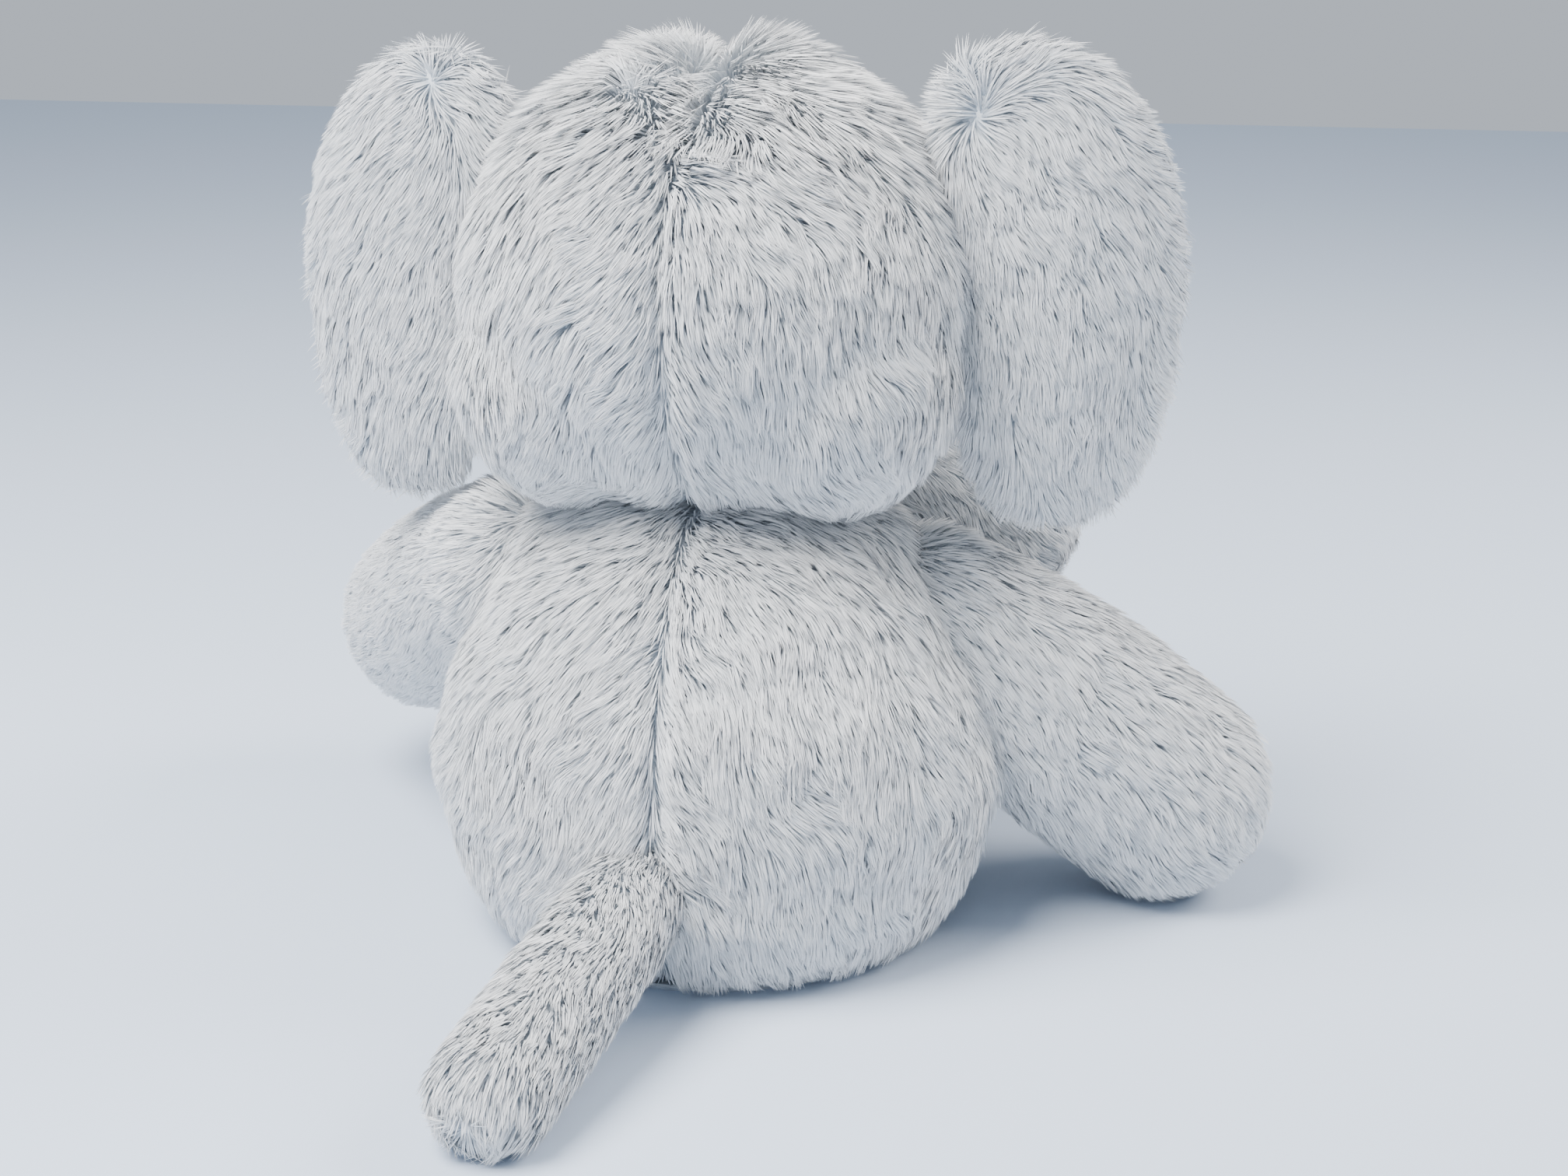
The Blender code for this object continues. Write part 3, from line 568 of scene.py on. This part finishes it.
# %% The pile tree
def pile_tree():
    """Geometry Nodes: roots on the skin, a blade on each, bent, gathered into locks and tufts."""
    tree = bpy.data.node_groups.new("pile", "GeometryNodeTree")
    tree.interface.new_socket("Pile", in_out="OUTPUT", socket_type="NodeSocketGeometry")
    for name, kind, value in (
            ("Skin", "Geometry", None), ("Blade", "Object", None), ("Share", "Float", 1.0),
            ("Per Square Metre", "Float", 5e5), ("Seed", "Int", 1), ("Half Width", "Float", 5e-4),
            ("Lock Size", "Float", 0.005), ("Tuft Size", "Float", 0.016),
            ("Gather", "Float", 0.28), ("Stray", "Float", 0.5), ("Finish", "Material", None)):
        socket = tree.interface.new_socket(name, in_out="INPUT", socket_type="NodeSocket" + kind)
        if value is not None:
            socket.default_value = value
    given = add(tree, "NodeGroupInput").outputs

    def sums(operation, *values):
        return add(tree, "ShaderNodeMath", dict(enumerate(values)), operation=operation).outputs[0]

    def vector(operation, *values, out=0, **named):
        return add(tree, "ShaderNodeVectorMath", {**dict(enumerate(values)), **named},
                   operation=operation).outputs[out]

    def scaled(value, factor):
        return vector("SCALE", value, Scale=factor)

    def read(name, kind="FLOAT"):
        return add(tree, "GeometryNodeInputNamedAttribute", {"Name": name},
                   data_type=kind).outputs[0]

    def store(geometry, name, value, kind="FLOAT_VECTOR", domain="POINT"):
        return add(tree, "GeometryNodeStoreNamedAttribute",
                   {"Geometry": geometry, "Name": name, "Value": value},
                   data_type=kind, domain=domain).outputs[0]

    shown = sums("MULTIPLY", sums("MULTIPLY", read("density"), read("share")),
                 given["Per Square Metre"])
    roots = add(tree, "GeometryNodeDistributePointsOnFaces",
                {"Mesh": given["Skin"], "Density": shown, "Seed": given["Seed"]},
                distribute_method="RANDOM")
    place = add(tree, "GeometryNodeInputPosition").outputs[0]
    normal = roots.outputs["Normal"]

    def cells(size):
        return add(tree, "ShaderNodeTexVoronoi",
                   {"Vector": place, "Scale": sums("DIVIDE", 1.0, size)},
                   voronoi_dimensions="3D", feature="F1").outputs

    def along_skin(value):
        return vector("SUBTRACT", value, scaled(normal, vector("DOT_PRODUCT", value, normal, out=1)))

    lock, tuft = cells(given["Lock Size"]), cells(given["Tuft Size"])
    to_lock = scaled(along_skin(vector("SUBTRACT", lock["Position"], place)), given["Gather"])
    own = add(tree, "FunctionNodeRandomValue", {0: (-0.5,) * 3, 1: (0.5,) * 3, "Seed": 3},
              data_type="FLOAT_VECTOR").outputs[0]
    astray = vector("ADD", vector("SUBTRACT", tuft["Color"], (0.5,) * 3),
                    vector("ADD", scaled(vector("SUBTRACT", lock["Color"], (0.5,) * 3), 0.55),
                           scaled(own, 0.35)))
    lean = along_skin(read("lean", "FLOAT_VECTOR"))
    lean = vector("NORMALIZE", vector("ADD", vector("NORMALIZE", lean),
                                      scaled(along_skin(astray), given["Stray"])))
    chance = add(tree, "FunctionNodeRandomValue", {2: 0.0, 3: 1.0, "Seed": 5},
                 data_type="FLOAT").outputs[1]
    lock_tone = add(tree, "FunctionNodeSeparateColor", {0: lock["Color"]}).outputs[0]
    tone = sums("ADD", sums("MULTIPLY", lock_tone, 0.5), sums("MULTIPLY", chance, 0.47))
    twist = sums("MULTIPLY", sums("SUBTRACT", chance, 0.5), 1.8)
    across = vector("NORMALIZE", vector("CROSS_PRODUCT", normal, lean))
    across = vector("ADD", scaled(across, sums("COSINE", twist)), scaled(normal, sums("SINE", twist)))
    reach = sums("MULTIPLY", read("length"), sums("ADD", 0.78, sums("MULTIPLY", lock_tone, 0.40)))

    points = roots.outputs["Points"]
    for name, value in (("root", place), ("out", scaled(normal, sums("MULTIPLY", reach, read("lift")))),
                        ("over", scaled(lean, reach)), ("to_lock", to_lock), ("across", across)):
        points = store(points, name, value)
    points = store(points, "tone", tone, "FLOAT")
    blade_shape = add(tree, "GeometryNodeObjectInfo", {"Object": given["Blade"]}).outputs["Geometry"]
    strands = add(tree, "GeometryNodeInstanceOnPoints",
                  {"Points": points, "Instance": blade_shape}).outputs[0]
    strands = add(tree, "GeometryNodeRealizeInstances", {"Geometry": strands}).outputs[0]

    root = read("root", "FLOAT_VECTOR")
    on_blade = add(tree, "ShaderNodeSeparateXYZ", {0: vector("SUBTRACT", place, root)}).outputs
    side, t = on_blade[0], on_blade[1]
    rise = sums("MULTIPLY", t, sums("SUBTRACT", 1.75, sums("MULTIPLY", t, 0.75)))
    run = sums("MULTIPLY", t, sums("ADD", 0.50, sums("MULTIPLY", t, 0.45)))
    spot = vector("ADD", root, scaled(read("out", "FLOAT_VECTOR"), rise))
    spot = vector("ADD", spot, scaled(read("over", "FLOAT_VECTOR"), run))
    spot = vector("ADD", spot, scaled(read("to_lock", "FLOAT_VECTOR"), sums("POWER", t, 1.5)))
    spot = vector("ADD", spot, scaled(read("across", "FLOAT_VECTOR"),
                                      sums("MULTIPLY", side, given["Half Width"])))
    above = add(tree, "ShaderNodeSeparateXYZ", {0: spot}).outputs
    spot = add(tree, "ShaderNodeCombineXYZ",
               {0: above[0], 1: above[1], 2: sums("MAXIMUM", above[2], 0.0005)}).outputs[0]
    chart_u = sums("ADD", read("tone"), sums("MULTIPLY", sums("ADD", side, 1.0), 0.012))
    chart = add(tree, "ShaderNodeCombineXYZ", {0: chart_u, 1: t}).outputs[0]
    strands = store(strands, "OFBake", chart, "FLOAT2", "CORNER")
    strands = add(tree, "GeometryNodeSetPosition", {"Geometry": strands, "Position": spot}).outputs[0]
    strands = add(tree, "GeometryNodeSetMaterial",
                  {"Geometry": strands, "Material": given["Finish"]}).outputs[0]
    add(tree, "NodeGroupOutput", {0: strands})
    return tree


PILE = pile_tree()
print("pile tree has", len(PILE.nodes), "nodes")

# %% [markdown]
# ## Finishes
# The pile is acrylic: pale at the tip, greyer and bluer down at the root, where little light
# reaches, and no two locks quite the same. The colour follows each strand's own chart, with tone
# across and root to tip upward. Tusks, soles and ear fronts are short velour. The eyes are glossy
# black acrylic.

# %% Finishes
def finish(name, code, roughness, **shader_values):
    paint = bpy.data.materials.new(name)
    paint.use_nodes = True
    shader = paint.node_tree.nodes["Principled BSDF"]
    shader.inputs["Base Color"].default_value = linear(code)
    shader.inputs["Roughness"].default_value = roughness
    for key, value in shader_values.items():
        shader.inputs[key.replace("_", " ")].default_value = value
    return paint


def ramp(tree, factor, stops):
    node = add(tree, "ShaderNodeValToRGB", {0: factor})
    for i, (at, code) in enumerate(stops):
        stop = node.color_ramp.elements[i] if i < 2 else node.color_ramp.elements.new(at)
        stop.position = at
        stop.color = linear(code)
    return node.outputs[0]


acrylic_pile = finish("acrylic_long_pile", "#D9DCDF", 0.72, Sheen_Weight=0.25, Sheen_Roughness=0.5,
                      IOR=1.48)
tree = acrylic_pile.node_tree
chart = add(tree, "ShaderNodeSeparateXYZ",
            {0: add(tree, "ShaderNodeUVMap", uv_map="OFBake").outputs[0]}).outputs
root_to_tip = ramp(tree, chart[1], [(0.0, "#B4BFCA"), (1.0, "#FCFBFA"), (0.30, "#D3D8DD"),
                                    (0.65, "#EBECED")])
tone = ramp(tree, chart[0], [(0.0, "#D6DADE"), (1.0, "#FFFFFF"), (0.5, "#F0F1F2")])
mixed = add(tree, "ShaderNodeMix", {0: 1.0, 6: root_to_tip, 7: tone}, data_type="RGBA",
            blend_type="MULTIPLY").outputs[2]
tree.links.new(mixed, tree.nodes["Principled BSDF"].inputs["Base Color"])



def grained(paint, pale, deep, grain_mm, depth_mm, stretch=(1, 1, 1)):
    """Fine short fibres: two shades in a noise whose grain is given in millimetres, and a bump."""
    tree = paint.node_tree
    shader = tree.nodes["Principled BSDF"]
    place = add(tree, "ShaderNodeTexCoord").outputs["Object"]
    place = add(tree, "ShaderNodeMapping", {"Vector": place, "Scale": stretch}).outputs[0]
    fine = add(tree, "ShaderNodeTexNoise", {"Vector": place, "Scale": 1000 / grain_mm,
                                            "Detail": 3.0, "Roughness": 0.65}).outputs[0]
    broad = add(tree, "ShaderNodeTexNoise", {"Vector": place, "Scale": 1000 / (grain_mm * 14),
                                             "Detail": 2.0}).outputs[0]
    both = add(tree, "ShaderNodeMath", {0: fine, 1: broad}, operation="ADD").outputs[0]
    half = add(tree, "ShaderNodeMath", {0: both, 1: 0.5}, operation="MULTIPLY").outputs[0]
    shade = ramp(tree, half, [(0.36, deep), (0.62, pale)])
    tree.links.new(shade, shader.inputs["Base Color"])
    relief = add(tree, "ShaderNodeBump", {"Height": fine, "Strength": 0.6,
                                          "Distance": depth_mm / 1000}).outputs[0]
    tree.links.new(relief, shader.inputs["Normal"])
    return paint


knit_backing = grained(finish("knit_backing_cloth", "#CFD6DC", 0.9, IOR=1.5),
                       "#D8DDE2", "#BEC7CF", 1.2, 0.3, (1, 1, 0.6))
cotton_seat = grained(finish("woven_cotton_seat", "#C3CAD1", 0.85, IOR=1.5),
                      "#CBD1D7", "#AEB7C0", 0.8, 0.2, (1, 0.35, 1))
velour = grained(finish("short_velour", "#E4E3E1", 0.8, Sheen_Weight=0.5, Sheen_Roughness=0.4,
                        IOR=1.48), "#F0EEEC", "#D3D1CF", 1.1, 0.4, (1, 1, 0.45))
eye_acrylic = finish("glossy_black_acrylic", "#0B0B0D", 0.06, IOR=1.49, Coat_Weight=0.4)
print("finishes:", ", ".join(m.name for m in bpy.data.materials if not m.name.startswith("plain")))

# %% [markdown]
# ## Growing the pile
# A panel is one piece of pile: the head has a left and a right, and the body a left back, a right
# back and a belly. A share from 0 to 1 on the skin says which panel owns each spot, so the two
# sides of a seam grow up to it and neither crosses it.

# %% Growing the pile
PER_M2 = 600000


def grown(name, skin, share=None, per_m2=PER_M2, half_width=0.00048, seed=1):
    """One panel of pile as a plain mesh, its strands already bent."""
    source = skin.copy()
    source.data = skin.data.copy()
    bpy.context.scene.collection.objects.link(source)
    layer = source.data.attributes.new("share", "FLOAT", "POINT")
    value = np.ones(len(source.data.vertices)) if share is None else share
    layer.data.foreach_set("value", value.astype(np.float32))
    modifier = source.modifiers.new("Pile", "NODES")
    modifier.node_group = PILE
    keys = {item.name: item.identifier for item in PILE.interface.items_tree
            if item.item_type == "SOCKET" and item.in_out == "INPUT"}
    for key, given in (("Blade", blade), ("Per Square Metre", per_m2 * 1.0), ("Seed", seed),
                       ("Half Width", half_width),
                       ("Finish", acrylic_pile)):
        modifier[keys[key]] = given
    mesh = evaluated(source)
    bpy.data.objects.remove(source)
    for layer in list(mesh.attributes):
        if layer.name in ("root", "out", "over", "to_lock", "across", "tone", "share", "lean",
                          "length", "lift", "density"):
            mesh.attributes.remove(layer)
    obj = bpy.data.objects.new(name, mesh)
    bpy.context.scene.collection.objects.link(obj)
    if acrylic_pile.name not in [m.name for m in mesh.materials if m]:
        mesh.materials.append(acrylic_pile)
    print(name, len(mesh.vertices) // 5, "strands")
    return obj


piles = {}
p = points_of(skins["head"].data)
for s, name in ((1, "head_left"), (-1, "head_right")):
    piles[name] = grown(name + "_pile", skins["head"], (s * p[:, 0] > 0) * 1.0, seed=11 + s)
p = points_of(skins["body"].data)
rear = p[:, 1] > -0.030
for s, name in ((1, "body_back_left"), (-1, "body_back_right")):
    piles[name] = grown(name + "_pile", skins["body"], (rear & (s * p[:, 0] > 0)) * 1.0, seed=21 + s)
piles["body_belly"] = grown("body_belly_pile", skins["body"], ~rear * 1.0, seed=25)
for number, name in enumerate(("ear_left", "ear_right", "arm_left", "arm_right", "leg_left",
                               "leg_right", "trunk_base", "trunk_tip", "tail")):
    piles[name] = grown(name + "_pile", skins[name], seed=31 + number)

# %% [markdown]
# ## Tusks, soles, ear fronts and eyes
# The tusks are small stuffed velour cones. The soles and the ear fronts are velour panels let into
# the plush, so they are a second finish on the same skin, given by which way a face looks. An eye
# is a half ball of black acrylic on a shank.

# %% Tusks, soles, ear fronts and eyes
def look(obj, *paints):
    obj.data.materials.clear()
    for paint in paints:
        obj.data.materials.append(paint)
    for face in obj.data.polygons:
        face.use_smooth = True


def panel(obj, belongs):
    """Gives the second finish to the faces for which belongs(centre, normal) holds."""
    for face in obj.data.polygons:
        face.material_index = int(belongs(face.center, face.normal))


for name, skin in skins.items():
    look(skin, knit_backing, velour)
for s, name in ((1, "ear_left"), (-1, "ear_right")):
    toward_back = ear_place(s).to_3x3().col[1]
    panel(skins[name], lambda c, n: n.dot(toward_back) < -0.35)
for name in ("leg_left", "leg_right"):
    start, end = ends[name]
    way = (end - start).normalized()
    panel(skins[name], lambda c, n: n.dot(way) > 0.75 and (c - end).dot(way) > -0.010)

tusks = {}
for s, name in ((1, "tusk_left"), (-1, "tusk_right")):
    low, high = (Vector(c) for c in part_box(name))
    way = Vector((0.80 * s, -0.33, -0.50)).normalized()
    blunt = 0.0125
    tip = Vector(((high.x if s > 0 else low.x) - s * blunt, low.y + blunt, low.z + blunt))
    forms = ([], [])
    chain(forms, tip - way * 0.055, tip, 0.0150, blunt, 0.001, count=12)
    tusks[name] = melted(name + "_velour", forms, voxel=0.002, rounds=6)
    look(tusks[name], velour)

EYE_RADIUS = 0.0090
eyes = {}
for name, spot in EYES.items():
    forms = ([], [])
    ball(forms, spot, (EYE_RADIUS,) * 3, rings=24, segments=40)
    mesh = bpy.data.meshes.new(name + "_dome")
    mesh.from_pydata([tuple(v) for v in forms[0]], [], forms[1])
    eyes[name] = bpy.data.objects.new(name + "_dome", mesh)
    bpy.context.scene.collection.objects.link(eyes[name])
    look(eyes[name], eye_acrylic)

seat = bpy.data.objects["seat_base"]
for i in range(max(1, len(seat.data.materials))):
    if i < len(seat.data.materials):
        seat.data.materials[i] = cotton_seat
    else:
        seat.data.materials.append(cotton_seat)

# %% [markdown]
# ## Joints
# Each soft piece says which CAD nodes it stands for and which bodies carry it. Cloth that crosses a
# joint turns gradually, from the body it is sewn to toward the part that moves.

# %% Joints
NODES = {
    "body": ("body_back_left", "body_back_right", "body_belly", "body_stuffing", "pellet_bag",
             "neck_plug"),
    "head": ("head_left", "head_right", "head_stuffing"),
    "trunk_base": ("trunk_base_skin", "trunk_base_stuffing"),
    "trunk_tip": ("trunk_tip_skin", "trunk_tip_stuffing"),
    "tail": ("tail_skin", "tail_stuffing"),
}
for side in ("left", "right"):
    NODES[f"ear_{side}"] = tuple(f"ear_{part}_{side}" for part in ("back", "lining", "stuffing"))
    NODES[f"arm_{side}"] = (f"arm_{side}_skin", f"arm_{side}_stuffing")
    NODES[f"leg_{side}"] = (f"leg_{side}_skin", f"leg_{side}_stuffing", f"leg_{side}_sole")

PARENT = {"ear_left": "head", "ear_right": "head", "arm_left": "torso", "arm_right": "torso",
          "leg_left": "torso", "leg_right": "torso", "trunk_base": "head",
          "trunk_tip": "trunk_base", "tail": "torso"}


def crossing(name):
    """The two points between which a limb's cloth starts to turn with the limb."""
    if name.startswith("ear"):
        outward = ear_place(1 if name == "ear_left" else -1).to_3x3().col[0].normalized()
        hinge = EAR[1 if name == "ear_left" else -1]
        return hinge - outward * 0.012, hinge + outward * 0.018
    start, end = ends[name]
    way = (end - start).normalized()
    return start - way * 0.012, start + way * 0.030


for name, skin in skins.items():
    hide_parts(*NODES[name])
    own = [skin] + [pile for key, pile in piles.items() if key == name or (
        name in ("body", "head") and key.startswith(name + "_"))]
    for piece in own:
        if name in PARENT:
            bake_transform(piece, PARENT[name], name, *crossing(name))
        else:
            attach(piece, "torso" if name == "body" else "head")
for name, tusk in tusks.items():
    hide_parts(name, name.replace("tusk", "tusk_stuffing"))
    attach(tusk, "head")
for name, eye in eyes.items():
    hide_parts(name, name.replace("eye", "eye_washer"))
    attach(eye, "head")
